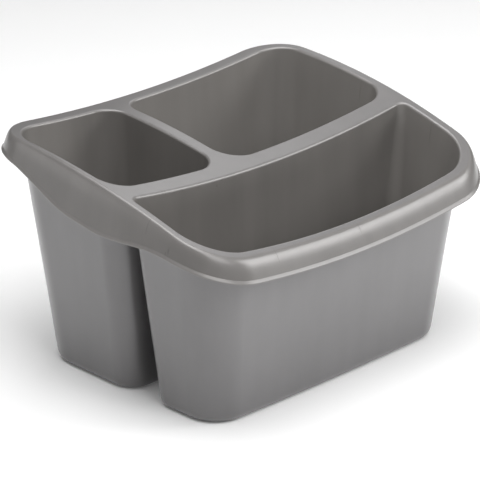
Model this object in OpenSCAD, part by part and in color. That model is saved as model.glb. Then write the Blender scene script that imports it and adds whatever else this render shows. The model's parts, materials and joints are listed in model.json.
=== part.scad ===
// Cleaning caddy: three tubs hanging from one curved rim, in silver-grey plastic.
// The front is -Y and the floor that it stands on is z = 0. Each node is one region of the moulding.

/* [Rim] */
// Width of the rim, side to side, without the flare of the grips
rim_w = 330; // [300:1:360]
// Depth of the rim, front to back, without the flare of the skirt
rim_d = 264; // [250:1:300]
// Plan radius of the two front corners of the rim
rim_front_r = 46; // [40:1:55]
// Plan radius of the two back corners of the rim
rim_back_r = 42; // [36:1:50]
// How far each side bulges outwards at the middle of its length
side_bow = 2.3; // [0:0.1:4]
// Extra width and height of the rounding along the front edge
front_turn = 3; // [0:0.5:3]

/* [Deck] */
// Height of the deck at its centre
deck_h = 176.5; // [150:0.5:200]
// Fall of the deck towards the front, as a slope
deck_slope = 0.182; // [0:0.002:0.22]
// Rise of the deck at its left and right ends
end_rise = 12.9; // [0:0.1:18]
// Fall of the deck at its front and back edges
edge_fall = 12; // [0:0.1:15]

/* [Openings] */
// Width of the band between a side of the rim and the openings
side_band = 9; // [8.5:0.5:16]
// Width of the band along the front of the rim
front_band = 13.5; // [13:0.5:20]
// Width of the band along the back of the rim
back_band = 14.7; // [9:0.1:20]
// Outward bow of the front edge of the front opening
front_bow = 2.6; // [0:0.1:4]
// Middle of the divider between the front tub and the two back cups
divider_y = -22; // [-40:1:0]
// Width of that divider
divider_w = 13.4; // [10:0.2:20]
// Middle of the divider between the two back cups
cup_divider_x = -35; // [-60:1:0]
// Width of that divider
cup_divider_w = 8.6; // [8:0.2:14]
// Radius that rounds the top edge of each opening
edge_r = 2.2; // [1.9:0.1:4]

/* [Tubs] */
// Thickness of every wall
wall = 1.8; // [1.5:0.1:1.8]
// How far the side walls lean in, from the rim to the floor
side_draft = 22; // [10:0.5:26]
// How far the front wall leans in
front_draft = 15; // [8:0.5:20]
// How far the back wall leans in
back_draft = 18; // [8:0.5:22]
// How far each wall beside a divider leans in
divider_draft = 5; // [2:0.5:10]
// Height of the rounding round each floor
foot_r = 8; // [6:0.5:12]

/* [Skirt] */
// Depth of the turned-down skirt below the deck, at the back
skirt_h = 16; // [16:0.5:22]
// Extra depth of the skirt along the front
front_depth = 2.6; // [0:0.2:4]
// How far the skirt flares outwards
skirt_flare = 2.8; // [1:0.1:5]
// Extra depth of the two side grips
grip_h = 18.5; // [6:0.5:26]
// Extra flare of the two side grips
grip_flare = 6.4; // [2:0.2:8]
// Height of the bead along the lower edge of the skirt
bead_h = 3; // [2:0.1:3.4]
// How far that bead stands out
bead_out = 1; // [0.4:0.1:1.6]

/* [Hidden] */
body_colour = "#8f8d8a";

// Fineness of the curves, with an even number of steps round a corner
corner_steps = 8;
side_steps = 8;
round_steps = 4;

// Width and height of the rounding that turns the rim over into the skirt
turn = 5;
turn_h = 8;
// Share of a wall's height that belongs to the deck above it and to the floor below it
seam_share = 0.03;
// Share of the skirt's height that belongs to the rounded edge above it
seam_at = 0.15;
// Extra rounding of the rim along the grips, outwards and down
grip_turn_out = 3;
grip_turn_down = 6;
// Share of the bead's height that lies below its sloping upper side
bead_slope = 0.35;
// Share of the bead that the grips lose
grip_bead_loss = 0.1;
// Where along Y each grip starts, is full, stays full and ends, from back to front
grip_back = 0.86 * rim_d / 2;
grip_full_back = 0.11 * rim_d / 2;
grip_full_front = -0.03 * rim_d / 2;
grip_front = -0.765 * rim_d / 2;
// Distance from the middle at which a grip starts round the corner, and over which it grows
grip_inner_x = rim_w / 2 - 37;
grip_grow_x = 28;
// Where along Y the skirt starts to deepen towards the front, and over what length
deepen_from = -45;
deepen_over = 60;

// Corner radii of the openings and of the bases: front left, front right, back right, back left
front_open_r = [38, 38, 9.5, 9.5];
left_open_r = [23.5, 23.5, 21, 33.5];
right_open_r = [26.5, 23, 27.5, 19.5];
front_base_r = [28, 28, 16, 16];
left_base_r = [20, 20, 20, 33];
right_base_r = [22, 20, 25, 19];

// Openings as [x0, x1, y0, y1]; the left cup's opening reaches a little nearer to the rim
open_x = rim_w / 2 - side_band;
open_y0 = front_band - rim_d / 2;
open_y1 = rim_d / 2 - back_band;
front_open = [-open_x, open_x, open_y0, divider_y - divider_w / 2];
left_open = [-open_x - 1.5, cup_divider_x - cup_divider_w / 2, divider_y + divider_w / 2, open_y1];
right_open = [cup_divider_x + cup_divider_w / 2, open_x, divider_y + divider_w / 2, open_y1];

// Deck cells round those openings
border_x = rim_w / 2 - turn;
border_y = rim_d / 2 - turn;
front_cell = [-border_x, border_x, -border_y, divider_y];
left_cell = [-border_x, cup_divider_x, divider_y, border_y];
right_cell = [cup_divider_x, border_x, divider_y, border_y];

// Smooth step from 0 to 1
function ease(t) = let (u = min(1, max(0, t))) u * u * (3 - 2 * u);

// Height of the deck's top surface at a point
function deck_z(p) =
    let (u = p.x / (rim_w / 2), v = p.y / (rim_d / 2))
    deck_h + deck_slope * p.y + end_rise * u * u - edge_fall * v * v - 2 * u * u * v;

// The outward bulge of the sides, the same for every outline
function bulge(p) = [p.x + side_bow * p.x / (rim_w / 2) * (1 - pow(p.y / (rim_d / 2), 2)), p.y];

// Extra rounding at a point of the border, from nothing at the front corners' ends to all of it at the front
function front_extra(p) = front_turn * pow(max(0, -p.y - (rim_d / 2 - rim_front_r)) / (rim_front_r - turn), 2);

// The border of the deck, moved inwards along the front so that the front edge rounds over gently
function front_in(p) = [p.x, p.y + front_extra(p)];

// Points round one corner: an arc, or the two sides of a square corner
function corner(centre, r, start, square) = [
    for (k = [0:corner_steps])
        let (a = start + 90 * k / corner_steps, u = [cos(a), sin(a)])
        centre + u * r / (square ? max(abs(u.x), abs(u.y)) : 1)
];

// A closed outline with four corners, anticlockwise from the front left one, moved inwards by d
function outline(box, radii, d = 0, square = [false, false, false, false], bow = 0) =
    let (
        x0 = box[0] + d,
        x1 = box[1] - d,
        y0 = box[2] + d,
        y1 = box[3] - d,
        r = [for (v = radii) max(1, v - d)],
        centres = [
            [x0 + r[0], y0 + r[0]],
            [x1 - r[1], y0 + r[1]],
            [x1 - r[2], y1 - r[2]],
            [x0 + r[3], y1 - r[3]]
        ],
        corners = [for (i = [0:3]) corner(centres[i], r[i], 180 + 90 * i, square[i])],
        points = [
            for (i = [0:3])
                let (p = corners[i][corner_steps], q = corners[(i + 1) % 4][0])
                each concat(corners[i], [for (k = [1:side_steps - 1]) p + (q - p) * k / side_steps])
        ]
    )
    [
        for (p = points)
            let (
                u = (p.x - x0) / (x1 - x0),
                v = (p.y - y0) / (y1 - y0),
                moved = [p.x, p.y - bow * (1 - v) * 4 * u * (1 - u)]
            )
            bulge(moved)
    ];

// A plan point at a height
function at_height(p, z) = [p.x, p.y, z];

// A plan point on the deck, or below it by a drop
function on_deck(p, drop = 0) = at_height(p, deck_z(p) - drop);

// A closed solid from columns of points, each column a closed section
module ring_solid(columns) {
    n = len(columns);
    m = len(columns[0]);
    polyhedron(
        points = [for (column = columns) each column],
        faces = [
            for (i = [0:n - 1], j = [0:m - 1])
                let (
                    a = i * m + j,
                    b = i * m + (j + 1) % m,
                    c = (i + 1) % n * m + j,
                    d = (i + 1) % n * m + (j + 1) % m
                )
                each [[a, c, b], [b, c, d]]
        ],
        convexity = 10
    );
}

// The same for an open run of columns, where each section runs down its outside and up its inside
module strip_solid(columns) {
    n = len(columns);
    m = len(columns[0]);
    last = (n - 1) * m;
    sides = [
        for (i = [0:n - 2], j = [0:m - 1])
            let (a = i * m + j, b = i * m + (j + 1) % m, c = a + m, d = b + m)
            each [[a, c, b], [b, c, d]]
    ];
    ends = [
        for (j = [0:m / 2 - 2])
            let (k = m - 1 - j)
            each [
                [j, j + 1, k], [j + 1, k - 1, k],
                [last + j, last + k, last + j + 1], [last + j + 1, last + k, last + k - 1]
            ]
    ];
    polyhedron(points = [for (column = columns) each column], faces = concat(sides, ends), convexity = 10);
}

// Inner and outer wall lines of a tub, from under the deck to the plane of its floor
function wall_top_inner(open, radii, bow) = [
    for (p = outline(open, radii, edge_r, bow = bow)) on_deck(p, edge_r)
];
function wall_top_outer(open, radii, bow) = [
    for (p = outline(open, radii, edge_r - wall, bow = bow)) on_deck(p, wall)
];
function wall_foot(base, radii, d, z, bow) = [for (p = outline(base, radii, d, bow = bow)) at_height(p, z)];

// A ring part of the way from one ring to another
function between(top, foot, share) = [for (i = [0:len(top) - 1]) top[i] + (foot[i] - top[i]) * share];

// A ring where the wall lines reach a height
function at_level(top, foot, z) = [
    for (i = [0:len(top) - 1])
        top[i] + (foot[i] - top[i]) * (top[i].z - z) / (top[i].z - foot[i].z)
];

// The four rings that shape one tub: inner top, inner foot, outer top, outer foot
function tub_rings(open, open_r, foot, foot_r_list, bow) = [
    wall_top_inner(open, open_r, bow),
    wall_foot(foot, foot_r_list, wall, wall, bow),
    wall_top_outer(open, open_r, bow),
    wall_foot(foot, foot_r_list, 0, 0, bow)
];

front_base = [
    front_open[0] + side_draft, front_open[1] - side_draft,
    front_open[2] + front_draft, front_open[3] - divider_draft
];
left_base = [
    left_open[0] + side_draft, left_open[1] - divider_draft,
    left_open[2] + divider_draft, left_open[3] - back_draft
];
right_base = [
    right_open[0] + divider_draft, right_open[1] - side_draft,
    right_open[2] + divider_draft, right_open[3] - back_draft
];

front_rings = tub_rings(front_open, front_open_r, front_base, front_base_r, front_bow);
left_rings = tub_rings(left_open, left_open_r, left_base, left_base_r, 0);
right_rings = tub_rings(right_open, right_open_r, right_base, right_base_r, 0);

// One cell of the deck: a plate whose opening has a rounded edge and a short lip
module deck_cell(cell, cell_r, square, open, open_r, rings, bow) {
    edge = [for (p = outline(cell, cell_r, 0, square)) front_in(p)];
    mouth = [
        for (k = [0:round_steps])
            let (a = 90 * k / round_steps)
            [for (p = outline(open, open_r, edge_r * cos(a), bow = bow))
                on_deck(p, edge_r * (1 - sin(a)))]
    ];
    lip_inner = between(rings[0], rings[1], seam_share);
    lip_outer = between(rings[2], rings[3], seam_share);
    ring_solid([
        for (i = [0:len(edge) - 1])
            concat(
                [lip_inner[i]],
                [for (ring = mouth) ring[i]],
                [on_deck(edge[i]), on_deck(edge[i], wall), rings[2][i], lip_outer[i]]
            )
    ]);
}

// The wall of a tub between the deck's lip and the floor's rounding
module tub_wall(rings) {
    top_inner = between(rings[0], rings[1], seam_share);
    top_outer = between(rings[2], rings[3], seam_share);
    low_inner = at_level(rings[0], rings[1], foot_r * 1.5);
    low_outer = at_level(rings[2], rings[3], foot_r * 1.5);
    ring_solid([
        for (i = [0:len(top_inner) - 1])
            [top_outer[i], low_outer[i], low_inner[i], top_inner[i]]
    ]);
}

// A point on the curve that leaves p towards q and arrives at r
function blend(p, q, r, t) = (1 - t) * (1 - t) * p + 2 * t * (1 - t) * q + t * t * r;

// The rounded foot of a tub, between its wall and its flat floor
module tub_foot(rings, foot, radii, bow) {
    steps = 4;
    inner_start = at_level(rings[0], rings[1], foot_r * 1.5);
    outer_start = at_level(rings[2], rings[3], foot_r * 1.5);
    inner_bend = at_level(rings[0], rings[1], foot_r);
    outer_bend = at_level(rings[2], rings[3], foot_r);
    inner_flat = wall_foot(foot, radii, foot_r, wall, bow);
    outer_flat = wall_foot(foot, radii, foot_r, 0, bow);
    ring_solid([
        for (i = [0:len(inner_flat) - 1])
            concat(
                [outer_start[i]],
                [for (k = [0:steps]) blend(outer_bend[i], rings[3][i], outer_flat[i], k / steps)],
                [for (k = [steps:-1:0]) blend(inner_bend[i], rings[1][i], inner_flat[i], k / steps)],
                [inner_start[i]]
            )
    ]);
}

// The flat floor inside that foot
module tub_floor(foot, radii, bow) {
    linear_extrude(wall)
        polygon(outline(foot, radii, foot_r, bow = bow));
}

// Outline of the border where the deck starts to turn down, and its outward direction
rim_box = [-rim_w / 2, rim_w / 2, -rim_d / 2, rim_d / 2];
rim_r = [rim_front_r, rim_front_r, rim_back_r, rim_back_r];
border = outline(rim_box, rim_r, turn);
border_out = outline(rim_box, rim_r, turn - 1);
deck_border = [for (p = border) front_in(p)];

// Share of the grip, from 0 to 1, at a point of the border
function grip_share(p) =
    ease((grip_back - p.y) / (grip_back - grip_full_back))
    * ease((p.y - grip_front) / (grip_full_front - grip_front))
    * ease((abs(p.x) - grip_inner_x) / grip_grow_x);

// A point outwards from the border and below the deck
function rim_point(i, out, drop) =
    let (p = border[i] + (border_out[i] - border[i]) * out)
    at_height(p, deck_z(border[i]) - drop);

// Where the rounding ends at a column: how far out and how far down
function turn_out(i) = turn + grip_turn_out * grip_share(border[i]);
function turn_drop(i) = turn_h + grip_turn_down * grip_share(border[i]) + front_extra(border[i]);

// Skirt bottom at a column: how far out and how far down
function skirt_out(i) = turn + skirt_flare + grip_flare * grip_share(border[i]);
function skirt_drop(i) =
    skirt_h + grip_h * grip_share(border[i]) + front_depth * ease((deepen_from - border[i].y) / deepen_over);

// How far the skirt leans out for its depth
function lean(i) = (skirt_out(i) - turn_out(i)) / (skirt_drop(i) - turn_drop(i));

// A point on the rounding by its share, on its outer face or set back by d
function turned(i, share, d) =
    blend(
        on_deck(deck_border[i], d),
        rim_point(i, turn_out(i) - d - (turn_drop(i) - d) * lean(i), d),
        rim_point(i, turn_out(i) - d, turn_drop(i)),
        share
    );

// How far the bead stands out at a column
function bead_at(i) = bead_out * (1 - grip_bead_loss * grip_share(border[i]));

// A point on the skirt's outer face, by its share of the way from the rounding to the bottom
function skirt_point(i, share, d) =
    let (
        x0 = turn_out(i),
        z0 = turn_drop(i),
        x1 = skirt_out(i),
        z1 = skirt_drop(i)
    )
    rim_point(i, x0 + (x1 - x0) * share - d, z0 + (z1 - z0) * share);

// The rounded edge of the rim, all the way round
module rim_edge_ring() {
    ring_solid([
        for (i = [0:len(border) - 1])
            concat(
                [for (k = [0:round_steps]) turned(i, k / round_steps, 0)],
                [skirt_point(i, seam_at, 0), skirt_point(i, seam_at, wall)],
                [for (k = [round_steps:-1:0]) turned(i, k / round_steps, wall)]
            )
    ]);
}

// A run of the skirt with the bead along its lower edge
module skirt_run(first, last) {
    bead_share = function(i) bead_h / (skirt_drop(i) - turn_drop(i));
    strip_solid([
        for (k = [first:last])
            let (i = k % len(border), s = seam_at, b = bead_share(i))
            [
                skirt_point(i, s, 0),
                skirt_point(i, (s + 1 - b) / 2, 0),
                skirt_point(i, 1 - b, 0),
                skirt_point(i, 1 - b * bead_slope, -bead_at(i)),
                skirt_point(i, 1, -bead_at(i)),
                skirt_point(i, 1, wall),
                skirt_point(i, 1 - b * bead_slope, wall),
                skirt_point(i, 1 - b, wall),
                skirt_point(i, (s + 1 - b) / 2, wall),
                skirt_point(i, s, wall)
            ]
    ]);
}

// First column of each side of the border, counted from the middle of each corner
quarter = corner_steps + side_steps;
half_corner = corner_steps / 2;

module front_deck() {
    color(body_colour)
        deck_cell(front_cell, [rim_front_r - turn, rim_front_r - turn, 12, 12], [false, false, true, true],
            front_open, front_open_r, front_rings, front_bow);
}

module left_deck() {
    color(body_colour)
        deck_cell(left_cell, [26, 26, 24, rim_back_r - turn], [true, true, true, false],
            left_open, left_open_r, left_rings, 0);
}

module right_deck() {
    color(body_colour)
        deck_cell(right_cell, [28, 26, rim_back_r - turn, 22], [true, true, false, true],
            right_open, right_open_r, right_rings, 0);
}

module rim_edge() {
    color(body_colour)
        rim_edge_ring();
}

module front_skirt() {
    color(body_colour)
        skirt_run(half_corner, quarter + half_corner);
}

module right_grip() {
    color(body_colour)
        skirt_run(quarter + half_corner, 2 * quarter + half_corner);
}

module back_skirt() {
    color(body_colour)
        skirt_run(2 * quarter + half_corner, 3 * quarter + half_corner);
}

module left_grip() {
    color(body_colour)
        skirt_run(3 * quarter + half_corner, 4 * quarter + half_corner);
}

module front_tub_wall() {
    color(body_colour)
        tub_wall(front_rings);
}

module front_tub_foot() {
    color(body_colour)
        tub_foot(front_rings, front_base, front_base_r, front_bow);
}

module front_tub_floor() {
    color(body_colour)
        tub_floor(front_base, front_base_r, front_bow);
}

module left_cup_wall() {
    color(body_colour)
        tub_wall(left_rings);
}

module left_cup_foot() {
    color(body_colour)
        tub_foot(left_rings, left_base, left_base_r, 0);
}

module left_cup_floor() {
    color(body_colour)
        tub_floor(left_base, left_base_r, 0);
}

module right_cup_wall() {
    color(body_colour)
        tub_wall(right_rings);
}

module right_cup_foot() {
    color(body_colour)
        tub_foot(right_rings, right_base, right_base_r, 0);
}

module right_cup_floor() {
    color(body_colour)
        tub_floor(right_base, right_base_r, 0);
}

front_deck();
left_deck();
right_deck();
rim_edge();
front_skirt();
back_skirt();
left_grip();
right_grip();
front_tub_wall();
front_tub_foot();
front_tub_floor();
left_cup_wall();
left_cup_foot();
left_cup_floor();
right_cup_wall();
right_cup_foot();
right_cup_floor();
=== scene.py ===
"""The looks of a three-tub cleaning caddy, moulded in one piece of silver-grey plastic.

Every visible piece is a dense mesh worked out from the same rules as its CAD node, so it fills that node.
Neighbouring pieces share their edge rings and their surface directions, so the moulding shows no seams.
"""
import json
import math

import bpy
import numpy as np
from mathutils import Matrix, Vector


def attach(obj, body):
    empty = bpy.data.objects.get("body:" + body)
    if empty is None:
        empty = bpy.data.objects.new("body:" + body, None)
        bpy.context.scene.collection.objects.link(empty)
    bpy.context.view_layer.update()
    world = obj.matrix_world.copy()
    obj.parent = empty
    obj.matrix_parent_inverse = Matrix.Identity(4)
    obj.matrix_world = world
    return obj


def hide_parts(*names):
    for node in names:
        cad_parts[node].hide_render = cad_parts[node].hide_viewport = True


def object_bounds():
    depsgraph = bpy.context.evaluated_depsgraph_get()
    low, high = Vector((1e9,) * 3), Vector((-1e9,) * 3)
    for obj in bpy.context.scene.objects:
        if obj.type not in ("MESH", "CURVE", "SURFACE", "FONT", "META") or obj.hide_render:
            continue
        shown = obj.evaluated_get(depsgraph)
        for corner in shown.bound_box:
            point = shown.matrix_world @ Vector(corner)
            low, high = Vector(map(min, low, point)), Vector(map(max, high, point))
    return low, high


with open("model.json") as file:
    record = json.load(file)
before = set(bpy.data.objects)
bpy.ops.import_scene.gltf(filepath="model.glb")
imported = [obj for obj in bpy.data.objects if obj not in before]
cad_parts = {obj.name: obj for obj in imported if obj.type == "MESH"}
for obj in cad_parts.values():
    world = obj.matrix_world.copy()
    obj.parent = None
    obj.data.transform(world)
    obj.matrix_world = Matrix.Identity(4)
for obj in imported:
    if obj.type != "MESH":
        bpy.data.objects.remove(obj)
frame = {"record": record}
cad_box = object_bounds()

# ---------------------------------------------------------------- dimensions, in millimetres
MM = 0.001

# The rim seen from above: its size before the rounding flares out, its corners, and how far its sides bow out
RIM_W, RIM_D = 330.0, 264.0
RIM_FRONT_R, RIM_BACK_R = 46.0, 42.0
SIDE_BOW = 2.3

# The deck's height, and how it slopes down to the front, rises to the ends, falls to the front and the back,
# and rises a little more at the ends' front. DECK_H, and BEAD_OUT below, are a hair less than the CAD's, so
# that every mesh stays in the CAD's box.
DECK_H, DECK_SLOPE = 176.498, 0.182
END_RISE, EDGE_FALL, END_TILT = 12.9, 12.0, 2.0

# The bands of deck round the openings, how far the front opening bows out, how much nearer to the side the
# left cup's opening comes, the dividers, and the rounded edge of each opening
SIDE_BAND, FRONT_BAND, BACK_BAND = 9.0, 13.5, 14.7
FRONT_BOW = 2.6
LEFT_CUP_OUT = 1.5
DIVIDER_Y, DIVIDER_W = -22.0, 13.4
CUP_DIVIDER_X, CUP_DIVIDER_W = -35.0, 8.6
EDGE_R = 2.2

# The walls: how far each side leans in on its way down, and the rounding and the top of the feet
WALL = 1.8
SIDE_DRAFT, FRONT_DRAFT, BACK_DRAFT, DIVIDER_DRAFT = 22.0, 15.0, 18.0, 5.0
FOOT_R = 8.0
FOOT_TOP = 1.5 * FOOT_R

# The rim's rounding, wider along the front, and wider and deeper at the grips
TURN, TURN_H, FRONT_TURN = 5.0, 8.0, 3.0
GRIP_TURN_OUT, GRIP_TURN_DOWN = 3.0, 6.0

# The skirt, which gets deeper towards the front and at the grips, and the bead on its lower edge
SKIRT_H, FRONT_DEPTH, SKIRT_FLARE = 16.0, 2.6, 2.8
DEEPEN_FROM, DEEPEN_OVER = -45.0, 60.0
GRIP_H, GRIP_FLARE = 18.5, 6.4
BEAD_H, BEAD_OUT, BEAD_SLOPE, GRIP_BEAD_LOSS = 3.0, 0.95, 0.35, 0.1
BEAD_TUCK = 0.5

# Where one piece hands over to the next: shares of a tub's wall and of the skirt
SEAM_SHARE, SEAM = 0.03, 0.15

# Where a grip begins, is full and ends from back to front, and from how far out it grows, and over how much
GRIP_BACK, GRIP_FULL_BACK = 0.86 * RIM_D / 2, 0.11 * RIM_D / 2
GRIP_FULL_FRONT, GRIP_FRONT = -0.03 * RIM_D / 2, -0.765 * RIM_D / 2
GRIP_INNER_X, GRIP_GROW_X = RIM_W / 2 - 37, 28.0

# The waviness of the thin walls: its size, how far from the deck and from the foot it starts, and how soon
# it is full. Each wave that moves points along x or y is a share, a length along the wall and a length in
# height, both for one radian, and a start.
WAVE, WAVE_START, WAVE_GROW = 0.11, 12.0, 45.0
WAVES_X = ((1.0, 13, 71, 0.0), (0.6, 29, -47, 1.7))
WAVES_Y = ((1.0, 15, -83, 0.9), (0.6, 34, 53, 2.4))

# Openings, bases and cells are (x0, x1, y0, y1), with corner radii from the front left one, anticlockwise
OPEN_X = RIM_W / 2 - SIDE_BAND
OPEN_Y0 = FRONT_BAND - RIM_D / 2
OPEN_Y1 = RIM_D / 2 - BACK_BAND
HALF_DIVIDER, HALF_CUP_DIVIDER = DIVIDER_W / 2, CUP_DIVIDER_W / 2
BORDER_X, BORDER_Y = RIM_W / 2 - TURN, RIM_D / 2 - TURN

# Each tub: the nodes of its deck and body, its opening, the corners of opening and base, how far each side
# leans in, how far its front bows out, its cell of the deck with its corners, which of them are square, and
# which sides face out of the caddy. Painted light, standing in for light shining through the plastic, makes a
# wall lighter where it faces out by more than "thin_from" and lies to the left of "thin_to_x".
TUBS = {
    "front": {
        "nodes": ("front_deck", "front_tub"),
        "open": (-OPEN_X, OPEN_X, OPEN_Y0, DIVIDER_Y - HALF_DIVIDER),
        "open_r": (38, 38, 9.5, 9.5),
        "base_r": (28, 28, 16, 16),
        "draft": (SIDE_DRAFT, SIDE_DRAFT, FRONT_DRAFT, DIVIDER_DRAFT),
        "bow": FRONT_BOW,
        "cell": (-BORDER_X, BORDER_X, -BORDER_Y, DIVIDER_Y),
        "cell_r": (RIM_FRONT_R - TURN, RIM_FRONT_R - TURN, 12, 12),
        "square": (False, False, True, True),
        "outside": (1, 1, 0, 1),
        "thin_from": 0.0,
        "thin_to_x": RIM_W,
    },
    "left": {
        "nodes": ("left_deck", "left_cup"),
        "open": (-OPEN_X - LEFT_CUP_OUT, CUP_DIVIDER_X - HALF_CUP_DIVIDER,
                 DIVIDER_Y + HALF_DIVIDER, OPEN_Y1),
        "open_r": (23.5, 23.5, 21, 33.5),
        "base_r": (20, 20, 20, 33),
        "draft": (SIDE_DRAFT, DIVIDER_DRAFT, DIVIDER_DRAFT, BACK_DRAFT),
        "bow": 0.0,
        "cell": (-BORDER_X, CUP_DIVIDER_X, DIVIDER_Y, BORDER_Y),
        "cell_r": (26, 26, 24, RIM_BACK_R - TURN),
        "square": (True, True, True, False),
        "outside": (0, 0, 1, 1),
        "thin_from": 0.8,
        "thin_to_x": -66.0,
    },
    "right": {
        "nodes": ("right_deck", "right_cup"),
        "open": (CUP_DIVIDER_X + HALF_CUP_DIVIDER, OPEN_X, DIVIDER_Y + HALF_DIVIDER, OPEN_Y1),
        "open_r": (26.5, 23, 27.5, 19.5),
        "base_r": (22, 20, 25, 19),
        "draft": (DIVIDER_DRAFT, SIDE_DRAFT, DIVIDER_DRAFT, BACK_DRAFT),
        "bow": 0.0,
        "cell": (CUP_DIVIDER_X, BORDER_X, DIVIDER_Y, BORDER_Y),
        "cell_r": (28, 26, RIM_BACK_R - TURN, 22),
        "square": (True, True, False, True),
        "outside": (0, 1, 1, 0),
        "thin_from": 0.3,
        "thin_to_x": RIM_W,
    },
}

# Width over which the painted light through a wall fades as it comes to the tub's "thin_to_x"
PAINTED_LIGHT_FADE_X = 40.0

# Directions out of the caddy, in the order of each tub's "outside": front, right, back, left
OUTSIDE = ((0, -1), (1, 0), (0, 1), (-1, 0))

# How much painted warm light tints the plastic on the deck and the rim, next to 1 inside the tubs and 0 on
# their outsides
DECK_WARM_LIGHT, RIM_WARM_LIGHT = 0.3, 0.7

# Fineness of the meshes
CORNER_STEPS, SIDE_STEPS = 24, 36
ROUND_STEPS, DECK_STEPS, WALL_STEPS, FOOT_STEPS = 10, 6, 16, 12
SKIRT_STEPS, BEAD_SLOPE_STEPS, BEAD_ROUND_STEPS = 8, 4, 5
FLOOR_SHARES = (0.02, 0.2, 0.4, 0.6, 0.8, 1.0)


# ---------------------------------------------------------------- the caddy's shape
def ease(t):
    """Smooth step from 0 to 1."""
    u = np.clip(t, 0, 1)
    return u * u * (3 - 2 * u)


def deck_z(plan):
    """Height of the deck over plan points."""
    u, v = plan[..., 0] / (RIM_W / 2), plan[..., 1] / (RIM_D / 2)
    return DECK_H + DECK_SLOPE * plan[..., 1] + END_RISE * u * u - EDGE_FALL * v * v - END_TILT * u * u * v


def corner(cx, cy, r, start, square):
    """Points round one corner: an arc, or the two sides of a square corner."""
    a = np.radians(start + 90 * np.arange(CORNER_STEPS + 1) / CORNER_STEPS)
    u = np.column_stack([np.cos(a), np.sin(a)])
    if square:
        u = u / np.abs(u).max(axis=1)[:, None]
    return np.array([cx, cy]) + u * r


def outline(box, radii, inset=0.0, square=(False,) * 4, bow=0.0):
    """A closed outline with four corners, anticlockwise from the front left one."""
    x0, x1, y0, y1 = box[0] + inset, box[1] - inset, box[2] + inset, box[3] - inset
    r = [max(1.0, v - inset) for v in radii]
    centres = ((x0 + r[0], y0 + r[0]), (x1 - r[1], y0 + r[1]),
               (x1 - r[2], y1 - r[2]), (x0 + r[3], y1 - r[3]))
    corners = [corner(*centres[i], r[i], 180 + 90 * i, square[i]) for i in range(4)]
    runs = []
    for i in range(4):
        p, q = corners[i][-1], corners[(i + 1) % 4][0]
        share = np.arange(1, SIDE_STEPS)[:, None] / SIDE_STEPS
        runs += [corners[i], p + (q - p) * share]
    points = np.concatenate(runs)
    u, v = (points[:, 0] - x0) / (x1 - x0), (points[:, 1] - y0) / (y1 - y0)
    points[:, 1] -= bow * (1 - v) * 4 * u * (1 - u)
    points[:, 0] += SIDE_BOW * points[:, 0] / (RIM_W / 2) * (1 - (points[:, 1] / (RIM_D / 2)) ** 2)
    return points


def front_extra(plan):
    """Extra rounding at points of the border: none behind the front corners, and all of it at the front."""
    forward = np.maximum(0, -plan[:, 1] - (RIM_D / 2 - RIM_FRONT_R))
    return FRONT_TURN * (forward / (RIM_FRONT_R - TURN)) ** 2


def front_in(plan):
    """The border of the deck, moved inwards along the front, where the edge rounds over more gently."""
    return np.column_stack([plan[:, 0], plan[:, 1] + front_extra(plan)])


def on_deck(plan, drop=0.0):
    """Plan points at the deck's height, or below it by a drop."""
    return np.column_stack([plan, deck_z(plan) - drop])


def at_height(plan, z):
    """Plan points, all at one height."""
    return np.column_stack([plan, np.full(len(plan), float(z))])


def between(top, foot, share):
    """The ring at a share of the way from one ring to another."""
    return top + (foot - top) * share


def at_level(top, foot, z):
    """The ring where the lines from one ring to another reach a height."""
    share = (top[:, 2] - z) / (top[:, 2] - foot[:, 2])
    return between(top, foot, share[:, None])


def blend(p, q, r, t):
    """A point on the curve that leaves p towards q and arrives at r."""
    return (1 - t) ** 2 * p + 2 * t * (1 - t) * q + t * t * r


def tub_rings(tub):
    """A tub's base, and the four rings that shape it: inner top, inner foot, outer top, outer foot."""
    base = tuple(b + s * d for b, s, d in zip(tub["open"], (1, -1, 1, -1), tub["draft"]))
    bow = tub["bow"]
    return base, (
        on_deck(outline(tub["open"], tub["open_r"], EDGE_R, bow=bow), EDGE_R),
        at_height(outline(base, tub["base_r"], WALL, bow=bow), WALL),
        on_deck(outline(tub["open"], tub["open_r"], EDGE_R - WALL, bow=bow), WALL),
        at_height(outline(base, tub["base_r"], 0, bow=bow), 0),
    )


def ripple(along, z, waves):
    """The sum of some waves at points along a wall and at a height."""
    return sum(share * np.sin(along / length + z / rise + start) for share, length, rise, start in waves)


def settle(points):
    """The slight waviness of thin moulded walls, none at the deck and none at the foot."""
    x, y, z = points[..., 0], points[..., 1], points[..., 2]
    depth = deck_z(points[..., :2]) - z
    amount = WAVE * ease((depth - WAVE_START) / WAVE_GROW) * ease((z - WAVE_START) / WAVE_GROW)
    moved = points.copy()
    moved[..., 0] += amount * ripple(y, z, WAVES_X)
    moved[..., 1] += amount * ripple(x, z, WAVES_Y)
    return moved


# ---------------------------------------------------------------- meshes from grids of points
class Grid:
    """Rows of points, each row a ring round the caddy or round a tub, in order round the piece's section.

    creases are the rows where the surface turns sharply. A floor's section isn't closed: its first and last
    rings are round the middle of its top and of its underside. Each point also has a finish of three shares:
    edge for a worn, rounded edge, warm for the tint of painted warm light, and thin for painted light that
    stands in for light from outside shining through a wall. edge and warm may be given row by row, and thin
    may be given point by point.
    """

    def __init__(self, rows, creases=(), section_closed=True, edge=0.0, warm=0.0, thin=0.0):
        self.points = settle(np.array(rows, dtype=float))
        self.creases = set(creases)
        self.section_closed = section_closed
        shape = self.points.shape[:2]
        by_row = [np.broadcast_to(np.reshape(v, (-1, 1)), shape) for v in (edge, warm)]
        self.finish = np.stack([*by_row, np.broadcast_to(thin, shape)], axis=-1)


def quad_directions(points, section_closed):
    """A direction for each quad between neighbouring rows and columns."""
    right = np.roll(points, -1, axis=1)
    down = np.roll(points, -1, axis=0)
    both = np.roll(down, -1, axis=1)
    directions = np.cross(both - points, right - down)
    if not section_closed:
        directions[-1] = 0
    return directions


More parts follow.
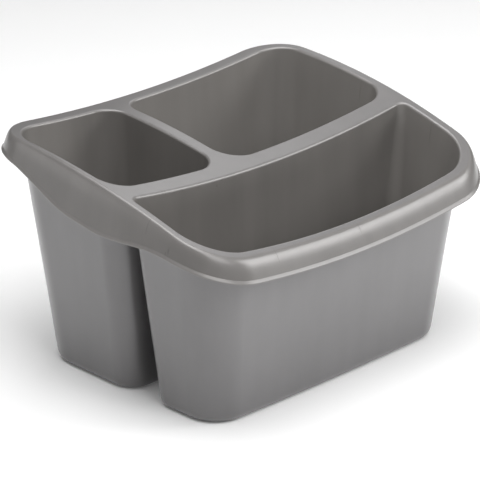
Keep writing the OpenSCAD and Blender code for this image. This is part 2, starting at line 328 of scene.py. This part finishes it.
def unit(v):
    """A direction of length 1."""
    return v / np.maximum(np.linalg.norm(v, axis=-1, keepdims=True), 1e-12)


def make_piece(name, grid, keep=None):
    """A mesh from a grid. keep is the run of columns that this piece owns, where it isn't the whole ring."""
    points = grid.points
    rows, columns = points.shape[:2]
    quads = quad_directions(points, grid.section_closed)
    joined = quads + np.roll(quads, 1, axis=1)
    above = np.roll(joined, 1, axis=0)
    smooth = unit(above + joined)
    for row in grid.creases:
        smooth[row] = 0
    first, last = keep if keep else (0, columns)
    order = [k % columns for k in range(first, last + (0 if keep is None else 1))]
    wide = len(order)
    index = np.arange(rows * wide).reshape(rows, wide)
    faces, normals = [], []
    row_count = rows if grid.section_closed else rows - 1
    column_count = wide if keep is None else wide - 1
    for j in range(row_count):
        j2 = (j + 1) % rows
        top = smooth[j] if j not in grid.creases else unit(joined[j])
        low = smooth[j2] if j2 not in grid.creases else unit(joined[j])
        for k in range(column_count):
            k2 = (k + 1) % wide
            faces.append((index[j, k], index[j2, k], index[j2, k2], index[j, k2]))
            a, b = order[k], order[k2]
            normals += [top[a], low[a], low[b], top[b]]
    verts = points[:, order].reshape(-1, 3)
    if not grid.section_closed:
        # A floor is closed by a flat face in the middle of its top and of its underside
        for ring, up in ((index[0], 1), (index[-1][::-1], -1)):
            faces.append(tuple(ring))
            normals += [(0, 0, up)] * wide
    if keep is not None:
        # A run of columns is closed at both ends, between its outside rows and its inside ones
        for k, turn in ((0, 1), (wide - 1, -1)):
            for j in range(rows // 2 - 1):
                other = rows - 1 - j
                face = [index[j, k], index[other, k], index[other - 1, k], index[j + 1, k]]
                if turn < 0:
                    face.reverse()
                a, b, c = (verts[i] for i in face[:3])
                faces.append(tuple(face))
                normals += [unit(np.cross(b - a, c - b))] * 4
    return build(name, verts, faces, normals, grid.finish[:, order].reshape(-1, 3))


def build(name, verts, faces, normals, finish):
    """A mesh object in metres, with its own surface directions and its finish as an attribute."""
    mesh = bpy.data.meshes.new(name)
    mesh.from_pydata((np.asarray(verts) * MM).tolist(), [], [tuple(int(i) for i in f) for f in faces])
    mesh.update()
    mesh.polygons.foreach_set("use_smooth", [True] * len(mesh.polygons))
    mark = mesh.attributes.new("finish", "FLOAT_VECTOR", "POINT")
    mark.data.foreach_set("vector", np.asarray(finish, dtype=np.float32).ravel())
    mesh.normals_split_custom_set([tuple(n) for n in np.asarray(normals, dtype=float)])
    piece = bpy.data.objects.new(name, mesh)
    bpy.context.scene.collection.objects.link(piece)
    return piece


# ---------------------------------------------------------------- the pieces
def deck_grid(tub):
    """One cell of the deck: the wall's very top, the rounded edge, the top face, and back underneath."""
    _, (inner_top, inner_foot, outer_top, outer_foot) = tub_rings(tub)
    edge = front_in(outline(tub["cell"], tub["cell_r"], 0, tub["square"]))
    mouth = outline(tub["open"], tub["open_r"], 0, bow=tub["bow"])
    rows = [between(inner_top, inner_foot, SEAM_SHARE * s) for s in (1, 0.5)]
    # worn marks worn edges; warm is the tint of painted warm light, full at the tub's inside; light is the
    # painted light through the wall, fading out over the rounded edge
    worn, warm, light = [0, 0], [1, 1], [1, 1]
    for k in range(ROUND_STEPS + 1):
        a = math.radians(90 * k / ROUND_STEPS)
        ring = outline(tub["open"], tub["open_r"], EDGE_R * math.cos(a), bow=tub["bow"])
        rows.append(on_deck(ring, EDGE_R * (1 - math.sin(a))))
        worn.append(math.sin(2 * a))
        warm.append(1 + (DECK_WARM_LIGHT - 1) * k / ROUND_STEPS)
        light.append(1 - k / ROUND_STEPS)
    for k in range(1, DECK_STEPS + 1):
        rows.append(on_deck(mouth + (edge - mouth) * k / DECK_STEPS))
        worn.append(0)
    crease_top = len(rows) - 1
    under = outline(tub["open"], tub["open_r"], EDGE_R - WALL, bow=tub["bow"])
    for k in range(DECK_STEPS, -1, -1):
        rows.append(on_deck(under + (edge - under) * k / DECK_STEPS, WALL))
        worn.append(0)
    crease_under = len(rows) - DECK_STEPS - 1
    crease_wall = len(rows) - 1
    rows += [between(outer_top, outer_foot, SEAM_SHARE * s) for s in (0.5, 1)]
    worn += [0, 0]
    warm += [DECK_WARM_LIGHT] * (len(rows) - len(warm))
    light = np.array(light + [0] * (len(rows) - len(light)))
    return Grid(rows, (0, crease_top, crease_under, crease_wall, len(rows) - 1), edge=worn, warm=warm,
                thin=light[:, None] * painted_light_share(tub))


def painted_light_share(tub):
    """Which columns of a tub face out of the caddy and not into a gap between tubs, from 0 to 1: the share of
    painted light through the wall that each gets.
    """
    ring = outline(tub["open"], tub["open_r"])
    out = unit(ring - outline(tub["open"], tub["open_r"], 1.0))
    faces = np.maximum(out @ np.array(OUTSIDE).T, 0) * tub["outside"]
    near = ease((tub["thin_to_x"] - ring[:, 0]) / PAINTED_LIGHT_FADE_X)
    return ease((faces.max(axis=1) - tub["thin_from"]) / (1 - tub["thin_from"])) * near


def wall_grid(tub):
    """A tub's wall, down its outside and up its inside."""
    _, (inner_top, inner_foot, outer_top, outer_foot) = tub_rings(tub)
    start_in = between(inner_top, inner_foot, SEAM_SHARE)
    start_out = between(outer_top, outer_foot, SEAM_SHARE)
    end_in = at_level(inner_top, inner_foot, FOOT_TOP)
    end_out = at_level(outer_top, outer_foot, FOOT_TOP)
    shares = [k / WALL_STEPS for k in range(WALL_STEPS + 1)]
    down = [between(start_out, end_out, t) for t in shares]
    up = [between(end_in, start_in, t) for t in shares]
    # The inside is tinted by painted warm light and, where it faces out, made lighter by painted light
    # through the wall
    inside = np.repeat((0.0, 1.0), len(shares))
    creases = (0, WALL_STEPS, WALL_STEPS + 1, 2 * WALL_STEPS + 1)
    return Grid(down + up, creases, warm=inside, thin=inside[:, None] * painted_light_share(tub))


def foot_grid(tub):
    """The rounded foot between a tub's wall and its flat floor."""
    base, (inner_top, inner_foot, outer_top, outer_foot) = tub_rings(tub)
    flat = outline(base, tub["base_r"], FOOT_R, bow=tub["bow"])
    start_in = at_level(inner_top, inner_foot, FOOT_TOP)
    start_out = at_level(outer_top, outer_foot, FOOT_TOP)
    bend_in = at_level(inner_top, inner_foot, FOOT_R)
    bend_out = at_level(outer_top, outer_foot, FOOT_R)
    shares = [k / FOOT_STEPS for k in range(FOOT_STEPS + 1)]
    down = [start_out] + [blend(bend_out, outer_foot, at_height(flat, 0), t) for t in shares]
    up = [blend(bend_in, inner_foot, at_height(flat, WALL), t) for t in reversed(shares)] + [start_in]
    worn = [0] + [math.sin(math.pi * t) for t in shares] + [0] * len(up)
    n = len(down)
    inside = np.repeat((0.0, 1.0), n)
    return Grid(down + up, (0, n - 1, n, n + len(up) - 1), edge=worn, warm=inside)


def floor_grid(tub):
    """The flat floor: rings from the middle of its top out to the foot and back underneath."""
    base, _ = tub_rings(tub)
    flat = outline(base, tub["base_r"], FOOT_R, bow=tub["bow"])
    middle = flat.mean(axis=0)
    over = [at_height(middle + (flat - middle) * s, WALL) for s in FLOOR_SHARES]
    under = [at_height(middle + (flat - middle) * s, 0) for s in reversed(FLOOR_SHARES)]
    n = len(FLOOR_SHARES)
    return Grid(over + under, (n - 1, n), section_closed=False, warm=np.repeat((1.0, 0.0), n))


# The border between the deck and the rim's rounding, the way outwards from each of its points, and how much
# of a grip there is at each
RIM_BOX = (-RIM_W / 2, RIM_W / 2, -RIM_D / 2, RIM_D / 2)
RIM_RADII = (RIM_FRONT_R, RIM_FRONT_R, RIM_BACK_R, RIM_BACK_R)
BORDER = outline(RIM_BOX, RIM_RADII, TURN)
BORDER_OUT = outline(RIM_BOX, RIM_RADII, TURN - 1) - BORDER
GRIP = (ease((GRIP_BACK - BORDER[:, 1]) / (GRIP_BACK - GRIP_FULL_BACK))
        * ease((BORDER[:, 1] - GRIP_FRONT) / (GRIP_FULL_FRONT - GRIP_FRONT))
        * ease((np.abs(BORDER[:, 0]) - GRIP_INNER_X) / GRIP_GROW_X))


def rim_ring(out, drop):
    """A ring outwards from the border and below the deck; out and drop may vary along it."""
    out, drop = np.broadcast_to(out, GRIP.shape), np.broadcast_to(drop, GRIP.shape)
    return np.column_stack([BORDER + BORDER_OUT * out[:, None], deck_z(BORDER) - drop])


# How far out and down the rounding ends and the skirt ends, and the bead's height and depth, point by point
TURN_OUT = TURN + GRIP_TURN_OUT * GRIP
TURN_DROP = TURN_H + GRIP_TURN_DOWN * GRIP + front_extra(BORDER)
SKIRT_OUT = TURN + SKIRT_FLARE + GRIP_FLARE * GRIP
SKIRT_DROP = SKIRT_H + GRIP_H * GRIP + FRONT_DEPTH * ease((DEEPEN_FROM - BORDER[:, 1]) / DEEPEN_OVER)
BEAD_SHARE = BEAD_H / (SKIRT_DROP - TURN_DROP)
BEAD_RING = BEAD_OUT * (1 - GRIP_BEAD_LOSS * GRIP)


def turned(share, back):
    """A ring on the rounding, by its share, on its outer face or set back. The curve ends along the skirt."""
    lean = (SKIRT_OUT - TURN_OUT) / (SKIRT_DROP - TURN_DROP)
    bend = rim_ring(TURN_OUT - back - (TURN_DROP - back) * lean, back)
    return blend(on_deck(front_in(BORDER), back), bend, rim_ring(TURN_OUT - back, TURN_DROP), share)


def skirt_ring(share, outwards=0.0):
    """A ring on the skirt, by its share of the way from the rounding to the bottom."""
    return rim_ring(TURN_OUT + (SKIRT_OUT - TURN_OUT) * share + outwards,
                    TURN_DROP + (SKIRT_DROP - TURN_DROP) * share)


def rim_edge_grid():
    """The rounded edge of the rim, all the way round."""
    shares = [k / ROUND_STEPS for k in range(ROUND_STEPS + 1)]
    rows = [turned(t, 0) for t in shares]
    rows += [skirt_ring(SEAM * 0.5), skirt_ring(SEAM)]
    rows += [skirt_ring(SEAM, -WALL), skirt_ring(SEAM * 0.5, -WALL)]
    rows += [turned(t, WALL) for t in reversed(shares)]
    worn = [math.sin(math.pi * t) for t in shares] + [0] * (len(rows) - len(shares))
    outer = ROUND_STEPS + 2
    return Grid(rows, (0, outer, outer + 1, len(rows) - 1), edge=worn, warm=RIM_WARM_LIGHT)


def skirt_grid():
    """The turned-down skirt with the bead along its lower edge, as many rows down as up."""
    bead_top = 1 - BEAD_SHARE
    down = [skirt_ring(SEAM + (bead_top - SEAM) * k / SKIRT_STEPS) for k in range(SKIRT_STEPS + 1)]
    worn = [0] * len(down)
    for k in range(1, BEAD_SLOPE_STEPS + 1):
        share = k / BEAD_SLOPE_STEPS
        down.append(skirt_ring(bead_top + BEAD_SHARE * (1 - BEAD_SLOPE) * share, BEAD_RING * share))
        worn.append(share)
    for k in range(1, BEAD_ROUND_STEPS + 1):
        share = k / BEAD_ROUND_STEPS
        out = BEAD_RING * (1 - BEAD_TUCK * share * share)
        down.append(skirt_ring(1 - BEAD_SHARE * BEAD_SLOPE * (1 - share), out))
        worn.append(1 - share)
    n = len(down)
    up = [skirt_ring(1 - (1 - SEAM) * k / (n - 1), -WALL) for k in range(n)]
    return Grid(down + up, (0, SKIRT_STEPS, n - 1, n, 2 * n - 1), edge=worn + [0] * n, warm=RIM_WARM_LIGHT)


# The skirt's four pieces, each from the middle of one corner to the middle of the next
QUARTER, HALF_CORNER = CORNER_STEPS + SIDE_STEPS, CORNER_STEPS // 2
SKIRT_RUNS = {"front_skirt": 0, "right_grip": 1, "back_skirt": 2, "left_grip": 3}


def make_pieces():
    """Every visible piece of the caddy, each standing for the CAD node of the same name."""
    made = {}
    for tub in TUBS.values():
        deck, body = tub["nodes"]
        made[deck] = make_piece(f"{deck}_shell", deck_grid(tub))
        made[f"{body}_wall"] = make_piece(f"{body}_wall_shell", wall_grid(tub))
        made[f"{body}_foot"] = make_piece(f"{body}_foot_shell", foot_grid(tub))
        made[f"{body}_floor"] = make_piece(f"{body}_floor_plate", floor_grid(tub))
    made["rim_edge"] = make_piece("rim_edge_shell", rim_edge_grid())
    skirt = skirt_grid()
    for node, side in SKIRT_RUNS.items():
        first = side * QUARTER + HALF_CORNER
        made[node] = make_piece(f"{node}_shell", skirt, keep=(first, first + QUARTER))
    return made


# ---------------------------------------------------------------- material
class Nodes:
    """A short way to add and join shader nodes."""

    def __init__(self, material):
        self.tree = material.node_tree

    def add(self, kind, settings=None, **inputs):
        """A node of a kind. An input is given by its name, or by its number as i0, i1 and so on."""
        node = self.tree.nodes.new(kind)
        for key, value in (settings or {}).items():
            setattr(node, key, value)
        for key, value in inputs.items():
            by_number = key[0] == "i" and key[1:].isdigit()
            socket = node.inputs[int(key[1:]) if by_number else key]
            if isinstance(value, bpy.types.NodeSocket):
                self.tree.links.new(value, socket)
            else:
                socket.default_value = value
        return node

    def math(self, operation, *values):
        """A sum or the like of some numbers."""
        inputs = {f"i{k}": value for k, value in enumerate(values)}
        return self.add("ShaderNodeMath", {"operation": operation}, **inputs).outputs[0]

    def vector(self, operation, **inputs):
        """A sum or the like of some vectors."""
        return self.add("ShaderNodeVectorMath", {"operation": operation}, **inputs)

    def total(self, *values):
        """The sum of some numbers."""
        result = values[0]
        for value in values[1:]:
            result = self.math("ADD", result, value)
        return result

    def swing(self, noise, amount):
        """A noise made to vary about zero, by an amount."""
        return self.math("MULTIPLY", self.math("SUBTRACT", noise, 0.5), amount)

    def noise(self, where, scale, detail=2.0, rough=0.5, stretch=(1, 1, 1)):
        """A cloudy pattern from 0 to 1."""
        mapped = self.add("ShaderNodeMapping", None, i0=where, Scale=stretch).outputs[0]
        return self.add("ShaderNodeTexNoise", None, Vector=mapped, Scale=scale, Detail=detail,
                        Roughness=rough).outputs[0]


# Colour of the plastic outside the tubs, and a painted tint of warm light inside them
PLASTIC = (0.190, 0.1845, 0.187)
PLASTIC_IN_WARM_LIGHT = (0.197, 0.187, 0.177)

# How much the tone changes: painted shade, darker towards the foot of each tub's outside, from a height in
# metres down; painted light, lighter on walls where it stands in for light shining through them; and broad
# clouds, flow streaks (more of them where the painted warm light tint is), pigment and worn edges
SHADE_TOP, FOOT_SHADE = 0.150, 0.21
PAINTED_THROUGH_LIGHT = 0.28
CLOUD_TONE, STREAK_TONE, WARM_STREAK_TONE, FLAKE_TONE, EDGE_TONE = 0.16, 0.12, 0.10, 0.12, 0.05

# The patterns as scale, detail, roughness and stretch
CLOUD = (16, 3, 0.55)
FLOW = (55, 2, 0.5, (1, 1, 0.12))
FLAKE = (2600, 1, 0.5)
SCUFF = (140, 4, 0.7, (1, 1, 0.4))
GRAIN = (900, 2, 0.6)

# Roughness: its middle, how much it changes with the clouds and on worn edges, and the scuffs' middle
ROUGHNESS, CLOUD_ROUGHNESS, WORN_ROUGHNESS, SCUFF_LEVEL = 0.33, 0.10, 0.10, 0.35

# Relief in metres
GRAIN_DEPTH, FLOW_DEPTH, SCUFF_DEPTH = 0.000012, 0.00004, 0.00002

# Small flow and handling marks on the moulding, as ellipsoids: centre and half-size, in millimetres
MARKS = (
    ((-166.0, -61.0, 170.5), (8, 0.6, 8)),
    ((-168.0, -85.5, 157.5), (8, 1.3, 3.5)),
    ((-168.0, -83.2, 155.0), (8, 0.9, 2.2)),
    ((-92.5, -128.0, 144.5), (0.7, 12, 7)),
    ((1.0, -128.0, 140.0), (0.6, 12, 5)),
    ((154.5, -65.0, 162.0), (5, 0.9, 13)),
    ((154.5, 16.0, 178.0), (5, 0.8, 12)),
    ((-121.6, -28.8, 176.5), (0.9, 2.5, 3)),
    ((-118.6, -29.5, 175.5), (0.7, 2.5, 4)),
    ((-63.0, -30.5, 166.0), (1.6, 3, 1.2)),
    ((-57.0, -30.5, 169.5), (2.2, 3, 0.9)),
)

# How much the middle of a mark changes the tone, and how deep it is in metres
MARK_TONE, MARK_DEPTH = -0.22, 0.00015


def mark_shares(n, where):
    """How far each point lies inside a mark, from 0 at its edge to 1 at its middle."""
    shares = []
    for centre, half in MARKS:
        offset = n.vector("SUBTRACT", i0=where, i1=[v * MM for v in centre]).outputs["Vector"]
        scaled = n.vector("DIVIDE", i0=offset, i1=[v * MM for v in half]).outputs["Vector"]
        away = n.vector("LENGTH", i0=scaled).outputs["Value"]
        shares.append(n.math("MAXIMUM", n.math("SUBTRACT", 1.0, away), 0.0))
    return n.total(*shares)


def plastic_material(slot):
    """Satin plastic with a fine metallic pigment, faint flow marks and softly worn edges, with painted shade,
    painted light and a painted warm light tint.
    """
    material = bpy.data.materials.new(slot)
    material.use_nodes = True
    shader = material.node_tree.nodes["Principled BSDF"]
    n = Nodes(material)
    where = n.add("ShaderNodeTexCoord").outputs["Object"]
    finish = n.add("ShaderNodeAttribute", {"attribute_name": "finish"}).outputs["Vector"]
    edge, warm, thin = n.add("ShaderNodeSeparateXYZ", None, Vector=finish).outputs
    height_up = n.add("ShaderNodeSeparateXYZ", None, Vector=where).outputs["Z"]
    cloud, flow, flake, scuff, grain = (n.noise(where, *p) for p in (CLOUD, FLOW, FLAKE, SCUFF, GRAIN))
    marks = mark_shares(n, where)

    streak = n.math("ADD", STREAK_TONE, n.math("MULTIPLY", warm, WARM_STREAK_TONE))
    # Painted shade: each tub's outside is darker towards its foot
    down = n.math("SUBTRACT", 1.0, n.math("MULTIPLY", height_up, 1 / SHADE_TOP))
    shade = n.math("MINIMUM", n.math("MULTIPLY", down, -FOOT_SHADE), 0.0)
    tone = n.total(
        n.swing(cloud, CLOUD_TONE),
        n.swing(flow, streak),
        n.swing(flake, FLAKE_TONE),
        n.math("MULTIPLY", edge, EDGE_TONE),
        n.math("MULTIPLY", shade, n.math("SUBTRACT", 1.0, warm)),
        # painted light through the walls that face out
        n.math("MULTIPLY", thin, PAINTED_THROUGH_LIGHT),
        n.math("MULTIPLY", marks, MARK_TONE),
        1.0,
    )
    # The insides, the rim and part of the deck are tinted by painted warm light
    hue = n.add("ShaderNodeMix", {"data_type": "RGBA"}, Factor=warm,
                i6=(*PLASTIC, 1), i7=(*PLASTIC_IN_WARM_LIGHT, 1))
    colour = n.vector("SCALE", i0=hue.outputs[2], Scale=tone).outputs[0]
    n.tree.links.new(colour, shader.inputs["Base Color"])

    worn = n.math("MULTIPLY", edge, n.math("SUBTRACT", scuff, SCUFF_LEVEL))
    rough = n.total(ROUGHNESS, n.swing(cloud, CLOUD_ROUGHNESS), n.math("MULTIPLY", worn, WORN_ROUGHNESS))
    n.tree.links.new(rough, shader.inputs["Roughness"])

    height = n.total(
        n.math("MULTIPLY", grain, GRAIN_DEPTH),
        n.math("MULTIPLY", flow, FLOW_DEPTH),
        n.math("MULTIPLY", n.math("MULTIPLY", scuff, edge), SCUFF_DEPTH),
        n.math("MULTIPLY", marks, -MARK_DEPTH),
    )
    bump = n.add("ShaderNodeBump", None, Height=height, Strength=1.0, Distance=1.0).outputs[0]
    n.tree.links.new(bump, shader.inputs["Normal"])

    shader.inputs["Metallic"].default_value = 0.12
    shader.inputs["IOR"].default_value = 1.49
    shader.inputs["Coat Weight"].default_value = 0.60
    shader.inputs["Coat Roughness"].default_value = 0.24
    return material


# ---------------------------------------------------------------- stage
# The floor: its size and its gap below the feet in metres, its cells along each side, its tone and how much
# that varies, and the light it gives out of its own, which keeps the backdrop near white
FLOOR_SIZE, FLOOR_GAP, FLOOR_CELLS = 12.0, 0.0002, 24
FLOOR_TONE, FLOOR_VARIES = 0.95, 0.02
FLOOR_LIFT = 0.06


def make_floor_stage():
    """A plain pale floor, a little under the tubs' feet."""
    steps = np.linspace(-FLOOR_SIZE / 2, FLOOR_SIZE / 2, FLOOR_CELLS + 1)
    verts = [(x, y, cad_box[0][2] - FLOOR_GAP) for y in steps for x in steps]
    row = FLOOR_CELLS + 1
    faces = [(j * row + i, j * row + i + 1, (j + 1) * row + i + 1, (j + 1) * row + i)
             for j in range(FLOOR_CELLS) for i in range(FLOOR_CELLS)]
    mesh = bpy.data.meshes.new("stage_floor")
    mesh.from_pydata(verts, [], faces)
    floor = bpy.data.objects.new("stage_floor", mesh)
    bpy.context.scene.collection.objects.link(floor)
    material = bpy.data.materials.new("stage_white")
    material.use_nodes = True
    shader = material.node_tree.nodes["Principled BSDF"]
    n = Nodes(material)
    where = n.add("ShaderNodeTexCoord").outputs["Object"]
    tone = n.math("ADD", FLOOR_TONE, n.math("MULTIPLY", n.noise(where, 3), FLOOR_VARIES))
    colour = n.add("ShaderNodeCombineColor", None, Red=tone, Green=tone, Blue=tone).outputs[0]
    n.tree.links.new(colour, shader.inputs["Base Color"])
    shader.inputs["Roughness"].default_value = 0.9
    shader.inputs["Specular IOR Level"].default_value = 0.1
    shader.inputs["Emission Color"].default_value = (1.0, 1.0, 1.0, 1)
    shader.inputs["Emission Strength"].default_value = FLOOR_LIFT
    mesh.materials.append(material)


def area_light(name, azimuth, elevation, distance, size, power):
    """A soft square light that faces the caddy. Azimuth 0 is the front and 90 the right, in degrees."""
    light = bpy.data.lights.new(name, "AREA")
    light.shape = "SQUARE"
    light.size = size
    light.energy = power
    lamp = bpy.data.objects.new(name, light)
    turn, lift = math.radians(azimuth), math.radians(elevation)
    away = Vector((math.sin(turn) * math.cos(lift), -math.cos(turn) * math.cos(lift), math.sin(lift)))
    lamp.location = Vector((0, 0, LIGHT_AIM_Z)) + away * distance
    lamp.rotation_euler = away.to_track_quat("Z", "Y").to_euler()
    bpy.context.scene.collection.objects.link(lamp)


# The height that the lights aim at, in metres, and the light of the room itself
LIGHT_AIM_Z = 0.1
ROOM_LIGHT = 0.02

# Softboxes: name, azimuth and elevation in degrees, distance and size in metres, power in watts
SOFTBOXES = (
    ("overhead", 0, 90, 1.2, 1.2, 11.0),
    ("top_front_left", 315, 70, 2.4, 1.3, 13.0),
    ("top_back_left", 225, 70, 2.4, 1.3, 11.0),
    ("front", 352, 43, 2.4, 1.5, 20.0),
    ("key_right", 48, 26, 2.4, 1.0, 17.0),
    ("low_right", 45, 14, 2.4, 1.1, 2.5),
    ("right", 90, 42, 2.4, 1.5, 2.0),
    ("back_right", 124, 32, 2.4, 0.9, 2.8),
    ("left", 270, 50, 2.4, 1.4, 3.0),
    ("low_back_left", 228, 16, 2.4, 1.0, 3.2),
)


def make_lights():
    """A dark room with soft boxes round and over the caddy."""
    world = bpy.data.worlds.new("studio")
    world.use_nodes = True
    sky = world.node_tree.nodes["Background"]
    sky.inputs["Color"].default_value = (1.0, 1.0, 1.0, 1)
    sky.inputs["Strength"].default_value = ROOM_LIGHT
    bpy.context.scene.world = world
    for box in SOFTBOXES:
        area_light(*box)


# The camera: azimuth, elevation and roll in degrees, the point it looks at and its distance from that point
# in metres, and its lens and the width of its film in millimetres
CAMERA_ANGLES = (-45.04, 22.87, 0.38)
CAMERA_TARGET = (-0.05966, -0.05471, 0.12586)
CAMERA_DISTANCE = 2.3703
LENS, FILM_WIDTH = 223.35, 36.0


def make_camera():
    """Camera at the photograph's viewing angle, far off and with a long lens."""
    azimuth, elevation, roll = (math.radians(v) for v in CAMERA_ANGLES)
    back = Vector((math.sin(azimuth) * math.cos(elevation), -math.cos(azimuth) * math.cos(elevation),
                   math.sin(elevation)))
    right = (-back).cross(Vector((0, 0, 1))).normalized()
    up = right.cross(-back)
    right_rolled = right * math.cos(roll) + up * math.sin(roll)
    up_rolled = up * math.cos(roll) - right * math.sin(roll)
    data = bpy.data.cameras.new("camera")
    data.sensor_width = FILM_WIDTH
    data.lens = LENS
    camera = bpy.data.objects.new("camera", data)
    place = Matrix((right_rolled, up_rolled, back)).transposed().to_4x4()
    place.translation = Vector(CAMERA_TARGET) + back * CAMERA_DISTANCE
    camera.matrix_world = place
    bpy.context.scene.collection.objects.link(camera)
    bpy.context.scene.camera = camera


# ---------------------------------------------------------------- putting it together
make_camera()
slot = frame["record"]["materials"][0]["slot"]
plastic = plastic_material(slot)
for node, piece in make_pieces().items():
    piece.data.materials.append(plastic)
    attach(piece, "root")
    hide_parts(node)
make_floor_stage()
make_lights()
bpy.context.scene.view_settings.view_transform = "Standard"
